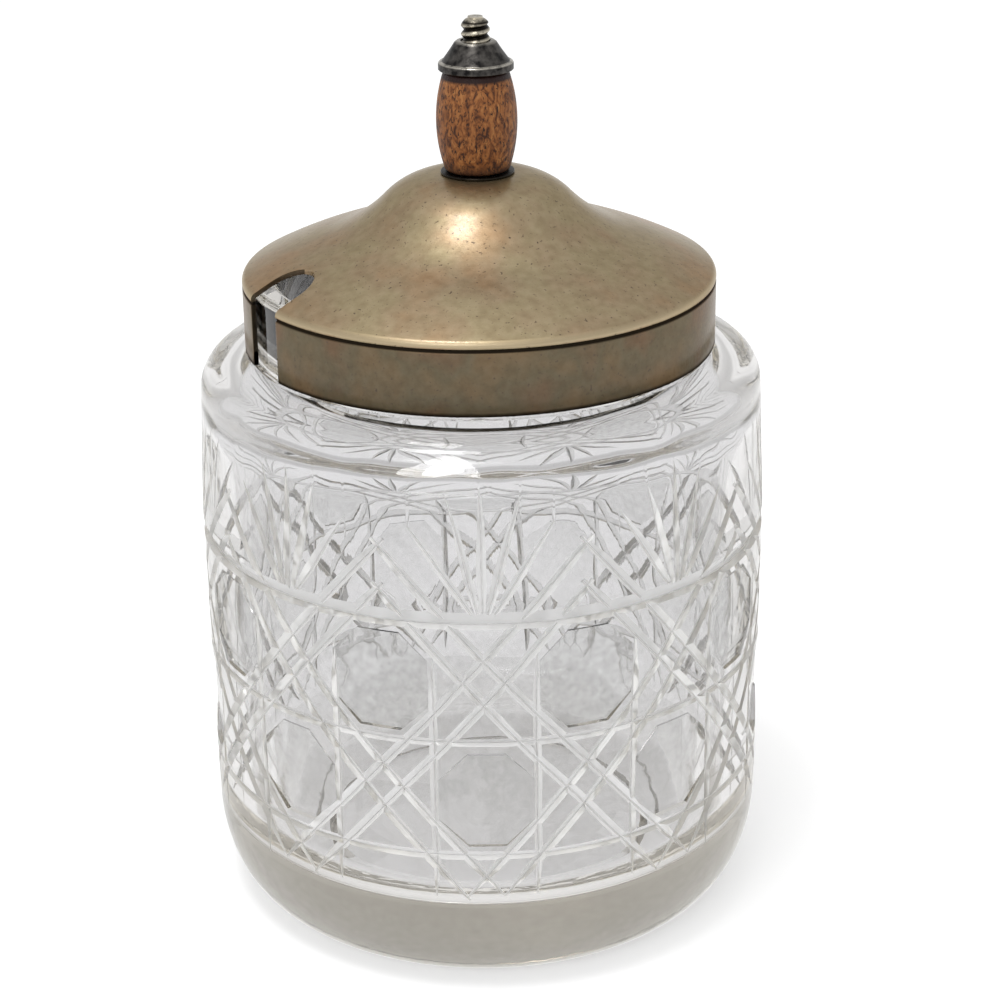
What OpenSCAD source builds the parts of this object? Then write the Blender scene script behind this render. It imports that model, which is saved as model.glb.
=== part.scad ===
// Cut glass sugar jar with a spoon-notched metal lid and a screw-clamped wooden knob.
// Millimetres, +Z up, origin at the centre of the face the jar stands on.
// The spoon slot opens towards -X.

/* [Jar] */
// Outer diameter of the jar's straight wall
jar_d = 95; // [92:0.5:100]
// Height of the shoulder's corner above the table
body_h = 95.5; // [93:0.5:110]
// How far the wall draws in between the cut pattern and the shoulder
wall_draw = 0.9; // [0:0.1:2]
// Radius of the rounded shoulder corner
shoulder_r = 4.5; // [3:0.1:6]
// Rise of the shoulder from its corner to the neck
shoulder_rise = 1.5; // [0.8:0.1:2.5]
// Outer diameter of the neck
neck_d = 75.2; // [71:0.2:78]
// Height of the neck's rim above the shoulder corner
neck_h = 14; // [12.5:0.1:17]
// Thickness of the glass in the neck
neck_t = 4.4; // [3.5:0.1:5.5]
// Radius of the fillet where neck meets shoulder
neck_fillet = 1; // [0.6:0.1:1.5]
// Radius of the fire-polished rim edges
rim_r = 1.2; // [0.8:0.1:1.5]
// Thickness of the glass in the wall
wall_t = 5.5; // [4:0.1:6.5]
// Width of the bevel inside, where the shoulder's underside meets the neck
throat_bevel = 1.5; // [0.8:0.1:2]
// Thickness of the glass in the base
base_t = 12.5; // [8:0.5:14]
// Radius inside the jar between wall and floor
floor_r = 8.5; // [5:0.5:10]
// Diameter of the flat ring the jar stands on
foot_d = 76; // [70:0.5:80]
// Height of the rounded heel
heel_h = 16.5; // [12:0.5:17]
// Diameter of the shallow hollow ground into the underside
punt_d = 58; // [50:1:62]
// Depth of that hollow
punt_h = 1.6; // [0.8:0.1:2.5]

/* [Cut pattern] */
// Repeats of the pattern round the jar
repeats = 9; // [8:1:10]
// How far the pattern is turned on from the +X axis
pattern_turn = 2; // [0:1:40]
// Height of the lowest level mitre above the table
tier_z = 26; // [25:0.5:27]
// Height of one tier of the pattern
tier_h = 20.4; // [19.4:0.1:21]
// Angle between the two slopes of a mitre
mitre_angle = 105; // [95:1:115]
// Depth of the two lower level mitres
level_depth = 0.5; // [0.3:0.05:0.8]
// Depth of the top level mitre
top_depth = 0.9; // [0.6:0.05:1.1]
// Width of the top mitre's broad upper slope
top_up = 2.3; // [1.8:0.1:2.6]
// Width of the top mitre's steep lower slope
top_down = 0.6; // [0.4:0.1:1]
// Depth of the upright mitres
upright_depth = 0.45; // [0.3:0.05:0.7]
// How far the uprights stop short of the top level mitre
upright_short = 5.3; // [4:0.1:7]
// How far the uprights and slants stop above the heel
heel_clear = 2; // [1:0.1:3]
// Depth of the slanting double mitres
slant_depth = 0.55; // [0.4:0.05:0.8]
// How much deeper the slants are cut that fall to the right
slant_extra = 0.04; // [0.02:0.01:0.1]
// Spacing of the two lines in a slanting double mitre
slant_gap = 4.8; // [4:0.1:5.4]
// How far a slant falls in a quarter of a repeat
slant_fall = 9.5; // [9:0.1:10.2]
// Width of the flat octagonal buttons
button_w = 15.8; // [14:0.2:16.2]
// Height of the buttons
button_h = 16.8; // [15:0.2:17.4]
// Length of the buttons' cut corners, measured along a side
button_corner = 4.6; // [3.6:0.1:5.4]
// Depth of the buttons at their upright sides
button_sink = 0.12; // [0.05:0.01:0.3]
// Depth of a fan's rays at their roots
ray_depth = 0.5; // [0.3:0.05:0.7]
// Height of the rays' roots above the top level mitre
ray_foot = 2; // [1.5:0.1:2.6]
// Length of the middle ray of a fan
ray_l = 21; // [18:0.5:21.5]
// Spacing of the rays at their roots
ray_root_gap = 0.9; // [0.7:0.1:1.4]
// How much lower the next ray's tip lies, times its place from the middle squared
ray_fall = 1.6; // [1:0.1:2]
// Angle round the jar between the tips of two rays
ray_spread = 7; // [5:0.25:7.5]

/* [Lid] */
// Thickness of the lid's sheet metal
sheet_t = 0.8; // [0.6:0.1:1]
// Clearance all round between skirt and neck
skirt_gap = 0.5; // [0.3:0.1:0.8]
// Clearance between the lid's underside and the jar's rim
seat_gap = 0.2; // [0.1:0.05:0.3]
// Height of the straight part of the skirt
skirt_h = 10.4; // [7:0.2:11]
// Radius where the lid's top rolls over into the skirt
roll_r = 2.2; // [1.6:0.1:2.6]
// Radius of the flat under the knob
seat_r = 6.2; // [6:0.1:7]
// Radius of the crown's rounding
crown_r = 13; // [11:0.5:14]
// Radius of the hollow between crown and brim
waist_r = 26; // [22:0.5:28]
// Steepest slope of the lid's top, between crown and hollow
crown_slope = 46; // [42:1:50]
// Slope of the lid's top where hollow turns to brim
waist_slope = 18; // [14:1:20]
// Slope of the brim where it reaches the rolled edge
brim_slope = 27; // [25:1:32]

/* [Spoon slot] */
// Width of the spoon slot
slot_w = 9.6; // [8:0.2:12]
// How far the slot runs in from the skirt
slot_l = 9; // [7.5:0.5:10]
// Rounding of the skirt's corners at the slot
slot_corner_r = 2.4; // [1.5:0.1:3]

/* [Knob] */
// Height of the wooden barrel
barrel_h = 16.2; // [12:0.2:20]
// Largest diameter of the barrel
barrel_d = 13.1; // [12:0.1:15]
// Diameter of the barrel's two ends
barrel_end_d = 10.4; // [9.8:0.1:11]
// Width of the bevel at the barrel's two ends
barrel_bevel = 0.3; // [0.2:0.05:0.5]
// Diameter of the thin washer under the barrel
base_washer_d = 12; // [11.2:0.1:12]
// Thickness of that washer
base_washer_t = 0.5; // [0.4:0.1:1]
// Diameter of the washer under the lid
under_washer_d = 11; // [10:0.2:11.8]
// Thickness of the washer under the lid
under_washer_t = 0.8; // [0.5:0.1:1.2]
// Diameter of the collar's flange
collar_d = 12.1; // [11.4:0.1:13]
// Diameter of the collar's top face
collar_top_d = 6.4; // [5.8:0.1:7]
// Height of the collar
collar_h = 4.6; // [4:0.1:6]
// Thickness of the collar's flange
flange_t = 1.3; // [1:0.1:1.8]
// Rounding of the flange's upper edge
flange_round = 0.4; // [0.2:0.05:0.6]
// Width of the ring on which the collar presses the barrel
collar_seat = 0.8; // [0.5:0.1:1.4]
// Depth of the hollow turned under the collar
collar_cup_h = 0.4; // [0.2:0.1:0.6]

/* [Screw] */
// Outer diameter of the screw's thread
screw_d = 4.7; // [4:0.1:5]
// Rise of the thread in one turn
thread_pitch = 1.45; // [1.2:0.05:1.6]
// Depth of the thread
thread_depth = 0.5; // [0.3:0.05:0.6]
// Length of thread that the collar's top leaves bare
tip_l = 3.8; // [2.5:0.1:5]
// Length over which the thread tapers to the tip
taper_l = 1.7; // [1.2:0.1:2.2]
// Diameter of the screw's blunt tip
tip_d = 2.4; // [2:0.1:2.8]
// Length of thread inside the top of the barrel
hidden_thread_l = 3; // [2:0.5:5]
// Diameter of the screw's head
head_d = 8.4; // [7.4:0.2:9]
// Height of the screw's head
head_h = 2.4; // [2:0.1:3]
// Width of the driver slot in the head
driver_w = 1.2; // [0.8:0.1:1.6]
// Depth of the driver slot
driver_depth = 1.2; // [0.8:0.1:1.4]
// Clearance round the screw in the pieces it passes through
running = 0.08; // [0.05:0.01:0.1]
// End play between the knob's pieces
play = 0.1; // [0.05:0.01:0.2]

/* [Hidden] */
$fn = 96;
// Degrees between the points of an arc in a profile
arc_step = 6;
// How far a cutter reaches beyond the surface it cuts
over = 1;
// A slant bends at stops along its way, counted in quarters of a repeat from its peak.
// It starts a little past the peak, and no stop lies where two slants cross.
slant_overrun = 0.12;
slant_first = 0.8;
shortest_length = 0.1;
// How far above the wall a mitre's bottom ends, where the mitre runs out
run_out = 0.05;
// Points in one turn of the thread, and rings in one pitch
thread_sides = 24;
thread_rings = 8;
// How far the thread starts inside the plain shank, and how far its crests lie inside the shank's skin
thread_lap = 0.5;
crest_drop = 0.03;

jar_r = jar_d / 2;
neck_r = neck_d / 2;
bore_r = neck_r - neck_t;
rim_z = body_h + neck_h;
wall_top_r = jar_r - wall_draw;
neck_foot_z = body_h + shoulder_rise;
step = 360 / repeats;
// The jar's outline is turned from here on, between a fan's middle ray and the upright beside it
seam_turn = pattern_turn + step / 8;
top_z = tier_z + 2 * tier_h;
// The wall is straight up to a little above the top level mitre
draw_z = top_z + top_up + over;

// Points of an arc about c from angle a0 to a1, either way round
function arc(c, r, a0, a1) =
    let (n = max(2, ceil(abs(a1 - a0) / arc_step)))
    [for (i = [0:n]) let (a = a0 + (a1 - a0) * i / n) c + r * [cos(a), sin(a)]];

// Points of a quarter ellipse about c, from straight below it round to beside it
function heel_arc(c, rx, ry) =
    [for (i = [0:90 / arc_step]) let (a = -90 + arc_step * i) c + [rx * cos(a), ry * sin(a)]];

function backwards(list) = [for (i = [len(list) - 1:-1:0]) list[i]];

// Radius of the uncut wall at height z
function wall_r(z) = z < draw_z ? jar_r : jar_r - wall_draw * (z - draw_z) / (body_h - shoulder_r - draw_z);

// A level mitre as three points on the straight wall, from its lower edge up
mitre_tan = tan(mitre_angle / 2);
function level_mitre(z, depth, down, up) = [[jar_r, z - down], [jar_r - depth, z], [jar_r, z + up]];
level_half = level_depth * mitre_tan;

// The jar's outside, from the foot up to the rim
shoulder_slope = atan(shoulder_rise / (wall_top_r - shoulder_r - neck_r));
jar_outside = concat(
    heel_arc([foot_d / 2, heel_h], jar_r - foot_d / 2, heel_h),
    level_mitre(tier_z, level_depth, level_half, level_half),
    level_mitre(tier_z + tier_h, level_depth, level_half, level_half),
    level_mitre(top_z, top_depth, top_down, top_up),
    [[jar_r, draw_z]],
    arc([wall_top_r - shoulder_r, body_h - shoulder_r], shoulder_r, 0, 90 - shoulder_slope),
    backwards(arc([neck_r + neck_fillet, neck_foot_z + neck_fillet], neck_fillet, 180, 270)),
    arc([neck_r - rim_r, rim_z - rim_r], rim_r, 0, 90));

// The inside, from the rim down to the floor
inside_r = jar_r - wall_t;
throat_r = inside_r - bore_r - throat_bevel;
throat_c = [bore_r + throat_bevel, neck_foot_z - wall_t - throat_r];
jar_inside = concat(
    arc([bore_r + rim_r, rim_z - rim_r], rim_r, 90, 180),
    [[bore_r, neck_foot_z - wall_t + throat_bevel]],
    arc(throat_c, throat_r, 90, 0),
    arc([inside_r - floor_r, base_t + floor_r], floor_r, 0, -90),
    [[0, base_t]]);

jar_under = [[0, punt_h], [punt_d / 2 - punt_h, punt_h], [punt_d / 2, 0]];

// The lid's outside, worked out from the knob's flat down, with the flat at height 0
crown_c = [seat_r, -crown_r];
crown_end = crown_c + crown_r * [sin(crown_slope), cos(crown_slope)];
waist_c = crown_end + waist_r * [sin(crown_slope), cos(crown_slope)];
waist_end = waist_c - waist_r * [sin(waist_slope), cos(waist_slope)];
lid_r = neck_r + skirt_gap + sheet_t;
brim_end_r = lid_r - roll_r * (1 - sin(brim_slope));
brim_r = (brim_end_r - waist_end[0]) / (sin(brim_slope) - sin(waist_slope));
brim_c = waist_end - brim_r * [sin(waist_slope), cos(waist_slope)];
roll_c = [lid_r - roll_r, brim_c[1] + (brim_r - roll_r) * cos(brim_slope)];
lid_edge_z = roll_c[1] - skirt_h;
function lid_side(t) = concat(
    [[0, -t]],
    arc(crown_c, crown_r - t, 90, 90 - crown_slope),
    arc(waist_c, waist_r + t, 270 - crown_slope, 270 - waist_slope),
    arc(brim_c, brim_r - t, 90 - waist_slope, 90 - brim_slope),
    arc(roll_c, roll_r - t, 90 - brim_slope, 0),
    [[lid_r - t, lid_edge_z]]);

// The lid comes down until the brim's underside is seat_gap from the rim's outer rounding
rim_c = [neck_r - rim_r, rim_z - rim_r];
seat_reach = brim_r - sheet_t - seat_gap - rim_r;
seat_z = rim_c[1] - sqrt(pow(seat_reach, 2) - pow(rim_c[0] - brim_c[0], 2)) - brim_c[1];

// Heights of the knob's pieces
barrel_z = seat_z + base_washer_t + play;
collar_z = barrel_z + barrel_h + play;
tip_z = collar_z + collar_h + tip_l;
head_top_z = seat_z - sheet_t - under_washer_t - play;
thread_z = collar_z - hidden_thread_l;
hole_r = screw_d / 2 + running;

// A straight V cutter whose bottom edge runs along +X from the origin, open towards +Z
module v_cutter(length, depth) {
    reach = depth + over;
    rotate([90, 0, 90]) linear_extrude(length)
        polygon([[0, 0], [reach * mitre_tan, reach], [-reach * mitre_tan, reach]]);
}

// A straight mitre in the wall between two points, each given as [angle, height, depth]
module mitre_cut(p, q) {
    half = (q[0] - p[0]) / 2;
    p_r = wall_r(p[1]) - p[2];
    q_r = wall_r(q[1]) - q[2];
    start = [p_r * cos(half), -p_r * sin(half), p[1]];
    end = [q_r * cos(half), q_r * sin(half), q[1]];
    length = norm(end - start);
    ex = (end - start) / length;
    outward = [1, 0, 0] - ex[0] * ex;
    ez = outward / norm(outward);
    ey = cross(ez, ex);
    rotate((p[0] + q[0]) / 2) translate(start)
        multmatrix([[ex[0], ey[0], ez[0], 0], [ex[1], ey[1], ez[1], 0], [ex[2], ey[2], ez[2], 0], [0, 0, 0, 1]])
            v_cutter(length, max(p[2], q[2]));
}

module upright(a) {
    mitre_cut([a, heel_h + heel_clear, upright_depth], [a, top_z - upright_short, upright_depth]);
}

// Faces of a closed skin through rings of points, each ring anticlockwise seen from ahead
function skin(sides, rings) = concat(
    [for (j = [0:rings - 1], i = [0:sides - 1], far = [0, 1])
        let (k = j * sides, n = (i + 1) % sides)
        far == 0 ? [k + i, k + i + sides, k + n] : [k + n, k + i + sides, k + n + sides]],
    [[for (i = [0:sides - 1]) i], [for (i = [sides - 1:-1:0]) rings * sides + i]]);

// One line of a double mitre: a V cutter that winds down the wall from its peak and runs out above the heel
// The slants of one repeat cross in the middle of the upper tier, half a repeat round from their peak.
slant_run = step / 4;
slant_angle = atan(slant_fall / (jar_r * slant_run * PI / 180));
slant_peak_z = top_z - tier_h / 2 + 2 * slant_fall;
slant_end_z = heel_h + heel_clear;
module slant(a, way, side) {
    peak_z = slant_peak_z + side * slant_gap / 2 / cos(slant_angle);
    depth = slant_depth + (way > 0 ? slant_extra : 0);
    count = (peak_z - slant_end_z) / slant_fall;
    stops = concat([-slant_overrun], [for (k = [slant_first:1:count - shortest_length]) k], [count]);
    points = [for (j = [0:len(stops) - 1])
        let (turn = stops[j] * slant_run,
             z = peak_z - stops[j] * slant_fall,
             d = j < len(stops) - 1 ? depth : -run_out,
             reach = wall_r(z) + over,
             rise = (d + over) * mitre_tan / cos(slant_angle))
        each [for (q = [[wall_r(z) - d, z], [reach, z + rise], [reach, z - rise]])
            [q[0] * cos(turn), q[0] * sin(turn), q[1]]]];
    rotate(a) mirror([0, way < 0 ? 1 : 0, 0]) polyhedron(points, skin(3, len(stops) - 1));
}

// A flat button ground into the wall, as a cutter that reaches out from the flat
button_flat_r = sqrt(pow(jar_r, 2) - pow(button_w / 2, 2)) - button_sink;
module button(a, z) {
    w = button_w / 2;
    h = button_h / 2;
    c = button_corner;
    rotate(a) translate([button_flat_r, 0, z]) rotate([90, 0, 90])
        linear_extrude(jar_r - button_flat_r + over)
            polygon([[w, c - h], [w, h - c], [w - c, h], [c - w, h],
                     [-w, h - c], [-w, c - h], [c - w, -h], [w - c, -h]]);
}

// A fan of rays, deepest at their roots and running out at their tips
ray_root_z = top_z + ray_foot;
ray_root_step = ray_root_gap / jar_r * 180 / PI;
module fan(a) {
    for (k = [-2:2]) {
        tip_height = ray_root_z + ray_l - ray_fall * k * k;
        mitre_cut([a + k * ray_root_step, ray_root_z, ray_depth], [a + k * ray_spread, tip_height, -run_out]);
    }
}

module cut_pattern() {
    for (i = [0:repeats - 1]) {
        a = pattern_turn + i * step;
        fan(a);
        button(a, tier_z + tier_h / 2);
        button(a + step / 2, tier_z + 3 * tier_h / 2);
        for (way = [-1, 1]) {
            upright(a + way * step / 4);
            for (side = [-1, 1]) slant(a + step / 2, way, side);
        }
    }
}

module glass_jar() {
    color("gainsboro", 0.5) difference() {
        rotate(seam_turn) rotate_extrude($fn = 180) polygon(concat(jar_under, jar_outside, jar_inside));
        cut_pattern();
    }
}

// The spoon slot runs in from the skirt to a round end, with rounded corners at the skirt's edge
module spoon_slot() {
    inner_r = lid_r - slot_l;
    flare_w = slot_w + 2 * slot_corner_r;
    slot_top = over - lid_edge_z;
    translate([-inner_r - slot_w / 2, 0, lid_edge_z - over]) cylinder(h = slot_top + over, d = slot_w);
    translate([-lid_r - over, -slot_w / 2, lid_edge_z - over])
        cube([slot_l - slot_w / 2 + over, slot_w, slot_top + over]);
    difference() {
        translate([-lid_r - over, -flare_w / 2, lid_edge_z - over])
            cube([slot_l, flare_w, slot_corner_r + over]);
        for (side = [-1, 1])
            translate([-lid_r - 2 * over, side * flare_w / 2, lid_edge_z + slot_corner_r])
                rotate([0, 90, 0]) cylinder(h = slot_l + 2 * over, r = slot_corner_r);
    }
}

module lid_shell() {
    color("darkkhaki") translate([0, 0, seat_z]) difference() {
        rotate_extrude() polygon(concat(lid_side(0), backwards(lid_side(sheet_t))));
        translate([0, 0, -sheet_t - over]) cylinder(h = sheet_t + 2 * over, r = hole_r);
        spoon_slot();
    }
}

// A flat ring on the screw, with its lower face at height z
module washer(z, d, t) {
    translate([0, 0, z]) rotate_extrude() polygon([[hole_r, 0], [d / 2, 0], [d / 2, t], [hole_r, t]]);
}

module under_washer() {
    color("silver") washer(seat_z - sheet_t - under_washer_t, under_washer_d, under_washer_t);
}

module base_washer() {
    color("dimgray") washer(seat_z, base_washer_d, base_washer_t);
}

// The barrel's side is one arc from end to end
barrel_sag = (barrel_d - barrel_end_d) / 2;
barrel_arc_r = (pow(barrel_h / 2, 2) + pow(barrel_sag, 2)) / (2 * barrel_sag);
module wood_barrel() {
    end_r = barrel_end_d / 2;
    side_h = barrel_h / 2 - barrel_bevel;
    turn = asin(side_h / barrel_arc_r);
    color("sienna") translate([0, 0, barrel_z]) rotate_extrude()
        polygon(concat([[hole_r, 0], [end_r - barrel_bevel, 0]],
                       arc([barrel_d / 2 - barrel_arc_r, barrel_h / 2], barrel_arc_r, -turn, turn),
                       [[end_r - barrel_bevel, barrel_h], [hole_r, barrel_h]]));
}

module collar_nut() {
    rim = collar_d / 2;
    cup_r = barrel_end_d / 2 - barrel_bevel - collar_seat;
    color("slategray") translate([0, 0, collar_z]) rotate_extrude()
        polygon(concat([[hole_r, collar_cup_h], [cup_r - collar_cup_h, collar_cup_h], [cup_r, 0], [rim, 0]],
                       arc([rim - flange_round, flange_t - flange_round], flange_round, 0, 90),
                       [[collar_top_d / 2, collar_h], [hole_r, collar_h]]));
}

// Radius of the thread at angle a and height z: a right-hand V thread under a rounded, tapering tip
crest_r = screw_d / 2 - crest_drop;
function taper_r(z) = crest_r * sqrt(max(0, 1 - pow(max(0, z - tip_z + taper_l) / taper_l, 2)));
function thread_r(a, z) =
    let (turns = (z - thread_z) / thread_pitch - a / 360, phase = turns - floor(turns))
    min(crest_r - thread_depth * abs(2 * phase - 1), max(tip_d / 2, taper_r(z)));

// The threaded end as one closed skin, ring by ring from inside the shank up to the tip
module thread() {
    low = thread_z - thread_lap;
    rings = ceil((tip_z - low) / thread_pitch * thread_rings);
    sides = thread_sides;
    rise = (tip_z - low) / rings;
    points = [for (j = [0:rings], i = [0:sides - 1])
        let (a = i * 360 / sides, z = low + j * rise, r = thread_r(a, z))
        [r * cos(a), r * sin(a), z]];
    polyhedron(points, skin(sides, rings));
}

module knob_screw() {
    color("lightslategray") {
        difference() {
            translate([0, 0, head_top_z - head_h]) cylinder(h = head_h, d = head_d);
            translate([-head_d / 2 - over, -driver_w / 2, head_top_z - head_h - over])
                cube([head_d + 2 * over, driver_w, driver_depth + over]);
        }
        translate([0, 0, head_top_z - head_h / 2]) cylinder(h = thread_z - head_top_z + head_h / 2, d = screw_d);
        thread();
    }
}

glass_jar();
lid_shell();
under_washer();
base_washer();
wood_barrel();
collar_nut();
knob_screw();
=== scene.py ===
# A sugar jar of hand-cut glass, with a spun brass lid that has a slot for a spoon, and a knob of turned
# wood that a steel collar clamps on a coarse screw. +Z is up and the spoon slot looks towards -X.
# Sizes are in millimetres and become metres where a mesh is made.
import bpy
import math
import random
from mathutils import Matrix, Vector, noise


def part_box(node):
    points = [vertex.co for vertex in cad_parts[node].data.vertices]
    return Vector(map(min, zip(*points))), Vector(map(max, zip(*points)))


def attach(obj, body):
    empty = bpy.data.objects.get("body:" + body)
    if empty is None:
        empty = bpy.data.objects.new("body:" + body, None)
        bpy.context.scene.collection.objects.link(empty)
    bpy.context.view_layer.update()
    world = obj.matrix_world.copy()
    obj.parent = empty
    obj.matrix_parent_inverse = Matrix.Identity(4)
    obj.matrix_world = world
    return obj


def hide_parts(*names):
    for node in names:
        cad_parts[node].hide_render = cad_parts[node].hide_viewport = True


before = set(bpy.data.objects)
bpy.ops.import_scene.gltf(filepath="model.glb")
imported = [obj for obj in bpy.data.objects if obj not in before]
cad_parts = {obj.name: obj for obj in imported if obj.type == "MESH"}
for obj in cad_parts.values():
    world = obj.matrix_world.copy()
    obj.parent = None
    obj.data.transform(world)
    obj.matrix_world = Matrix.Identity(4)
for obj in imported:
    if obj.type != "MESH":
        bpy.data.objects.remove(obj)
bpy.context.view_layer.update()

MM = 0.001
hand = random.Random(9)  # the cutter's unsteady hand, the same at every run


# Camera, fitted to the outline of the jar and the lid. Angles are in degrees.
CAMERA_AZIMUTH = -28  # from the -Y axis round to the spoon slot's side
CAMERA_X = 2.243
CAMERA_BACK = 380
CAMERA_HEIGHT = 226.88
CAMERA_DOWN = 22.70
CAMERA_YAW = 0.104
CAMERA_ROLL = -0.751
LENS = 86.66
SENSOR = 36


def place_camera():
    """The camera stands back and above, and looks down at the jar with the spoon slot on its left."""
    camera = bpy.data.objects.new("camera", bpy.data.cameras.new("camera"))
    camera.data.lens = LENS
    camera.data.sensor_width = SENSOR
    camera.data.clip_start = 10 * MM
    spot = Vector((CAMERA_X, -CAMERA_BACK, CAMERA_HEIGHT)) * MM
    turns = [(CAMERA_AZIMUTH, "Z"), (-CAMERA_YAW, "Z"), (90 - CAMERA_DOWN, "X"), (CAMERA_ROLL, "Z")]
    r = [Matrix.Rotation(math.radians(angle), 4, axis) for angle, axis in turns]
    camera.matrix_world = r[0] @ Matrix.Translation(spot) @ r[1] @ r[2] @ r[3]
    bpy.context.collection.objects.link(camera)
    bpy.context.scene.camera = camera


# Meshes
def arc(centre, radius, start, end, step=3.0):
    """Points (r, z) of an arc about a centre from one angle to another, in degrees, either way round."""
    n = max(2, math.ceil(abs(end - start) / step))
    angles = [math.radians(start + (end - start) * i / n) for i in range(n + 1)]
    return [(centre[0] + radius * math.cos(a), centre[1] + radius * math.sin(a)) for a in angles]


def point(turn, r, z):
    a = math.radians(turn)
    return Vector((r * math.cos(a), r * math.sin(a), z))


def mesh_piece(name, points, faces):
    """An object from points in millimetres and faces."""
    mesh = bpy.data.meshes.new(name)
    mesh.from_pydata([p * MM for p in points], [], faces)
    mesh.update()
    piece = bpy.data.objects.new(name, mesh)
    bpy.context.collection.objects.link(piece)
    return piece


def lathe(name, profile, sides, shift=None):
    """Turns a profile of (r, z) points round the Z axis. It runs anticlockwise, up the outside. A profile
    that starts on the axis ends on it, and any other closes on itself. shift(turn, r, z) gives a point's
    own (r, z)."""
    points, rings = [], []
    for r, z in profile:
        if r < 1e-6:
            rings.append([len(points)])
            points.append(Vector((0, 0, z)))
            continue
        rings.append(range(len(points), len(points) + sides))
        for i in range(sides):
            turn = 360 * i / sides
            points.append(point(turn, *(shift(turn, r, z) if shift else (r, z))))
    if len(rings[0]) > 1:
        rings.append(rings[0])
    faces = []
    for low, high in zip(rings, rings[1:]):
        for i in range(sides):
            j = (i + 1) % sides
            if len(low) == 1:
                faces.append((low[0], high[j], high[i]))
            elif len(high) == 1:
                faces.append((low[i], low[j], high[0]))
            else:
                faces.append((low[i], low[j], high[j], high[i]))
    return mesh_piece(name, points, faces)


def apply_modifiers(piece):
    """Gives a piece the mesh that its modifiers make."""
    graph = bpy.context.evaluated_depsgraph_get()
    made = bpy.data.meshes.new_from_object(piece.evaluated_get(graph))
    piece.modifiers.clear()
    old = piece.data
    piece.data = made
    bpy.data.meshes.remove(old)


def cut_away(piece, cutters):
    """Cuts closed meshes out of a piece one after the other."""
    for cutter in cutters:
        cut = piece.modifiers.new("cut", "BOOLEAN")
        cut.operation = "DIFFERENCE"
        cut.solver = "MANIFOLD"
        cut.object = cutter
    apply_modifiers(piece)
    for cutter in cutters:
        mesh = cutter.data
        bpy.data.objects.remove(cutter)
        bpy.data.meshes.remove(mesh)


def shade(piece, crease):
    """Smooth shading, with edges sharp where faces meet at more than crease degrees."""
    piece.data.shade_smooth()
    piece.data.set_sharp_from_angle(angle=math.radians(crease))


def ease_edges(piece, width, angle):
    """Rounds a piece's edges by a small width, where its faces meet at more than an angle."""
    bevel = piece.modifiers.new("ease", "BEVEL")
    bevel.width = width * MM
    bevel.segments = 2
    bevel.limit_method = "ANGLE"
    bevel.angle_limit = math.radians(angle)
    apply_modifiers(piece)


def fit(piece, body, node, material):
    """Makes a piece stand for a CAD node on its body, with its own material."""
    piece.data.materials.clear()
    piece.data.materials.append(material)
    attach(piece, body)
    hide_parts(node)


# Materials. A noise's Scale is 1 over the real size of its patches in millimetres.
MIX_A, MIX_B = 6, 7  # places of the Mix node's two colours


def linear(colour):
    """An sRGB hex colour as linear RGBA."""
    parts = [int(colour[i:i + 2], 16) / 255 for i in (1, 3, 5)]
    return (*[c / 12.92 if c <= 0.04045 else ((c + 0.055) / 1.055) ** 2.4 for c in parts], 1)


def add(tree, kind, inputs=(), stops=(), **settings):
    """Adds a node with its settings. Its inputs come as a list in their own order, or as a dict by name or
    place. Each is a number, a hex colour, another node's socket, or another node, which stands for its
    first output in use. stops are the places and hex colours of a colour ramp."""
    node = tree.nodes.new("ShaderNode" + kind)
    for name, value in settings.items():
        setattr(node, name, value)
    for name, value in inputs.items() if isinstance(inputs, dict) else enumerate(inputs):
        if isinstance(value, bpy.types.Node):
            value = next(output for output in value.outputs if output.enabled)
        if isinstance(value, bpy.types.NodeSocket):
            tree.links.new(value, node.inputs[name])
        else:
            node.inputs[name].default_value = linear(value) if isinstance(value, str) else value
    if stops:
        line = node.color_ramp.elements
        while len(line) < len(stops):
            line.new(0.5)
        for stop, (place, colour) in zip(line, stops):
            stop.position, stop.color = place, linear(colour)
    return node


def new_material(name):
    """An empty material, its tree, and a node that gives the piece's own coordinates in millimetres."""
    material = bpy.data.materials.new(name)
    material.use_nodes = True
    tree = material.node_tree
    tree.nodes.clear()
    place = add(tree, "TexCoord").outputs["Object"]
    return material, tree, add(tree, "VectorMath", {0: place, "Scale": 1 / MM}, operation="SCALE")


def band(tree, value, low, low_full, high_full, high):
    """1 between two places, falling to 0 outside them."""
    rise = add(tree, "MapRange", [value, low, low_full])
    fall = add(tree, "MapRange", [value, high, high_full])
    return add(tree, "Math", [rise, fall], operation="MULTIPLY")


def from_axis(tree, mm):
    """The distance from the Z axis in millimetres."""
    flat = add(tree, "VectorMath", [mm, (1, 1, 0)], operation="MULTIPLY")
    return add(tree, "VectorMath", [flat], operation="LENGTH")


GLASS_IOR = 1.53

# The jar's skins, each as (roughness, fine ripple, frost, grime and shade, film and shade): blown, a button
# polished flat, the faces and the bottom of a V that the wheel cut, the foot ground level, the inside, and
# the scuffed heel. Frost is the share of light that fine scratches scatter. Grime and film both mix a dark
# grey into the glass: partly old dirt and the dullness that handling and sugar leave, and partly painted
# shade for the darker room that clear glass would show. Grime is deepest in the bottoms of the V's, and film
# is most at half height.
SKINS = [(0.0, 0.0, 0.0, 0.0, 0.08), (0.06, 1.0, 0.05, 0.0, 0.38), (0.14, 0.5, 0.3, 0.0, 0.0),
         (0.3, 0.5, 0.4, 0.5, 0.0), (0.45, 0.3, 0.0, 0.1, 0.0), (0.0, 0.0, 0.0, 0.0, 0.28),
         (0.05, 1.0, 0.0, 0.25, 0.0)]
SKIN_VALUES = ("roughness", "ripple", "frost", "grime_and_shade", "film_and_shade")
BLOWN, BUTTON, GROOVE, GROOVE_BOTTOM, FOOT, INSIDE, HEEL = range(7)
FILM_Z = (30, 50, 62, 78)  # the film is full between the middle two heights


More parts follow.
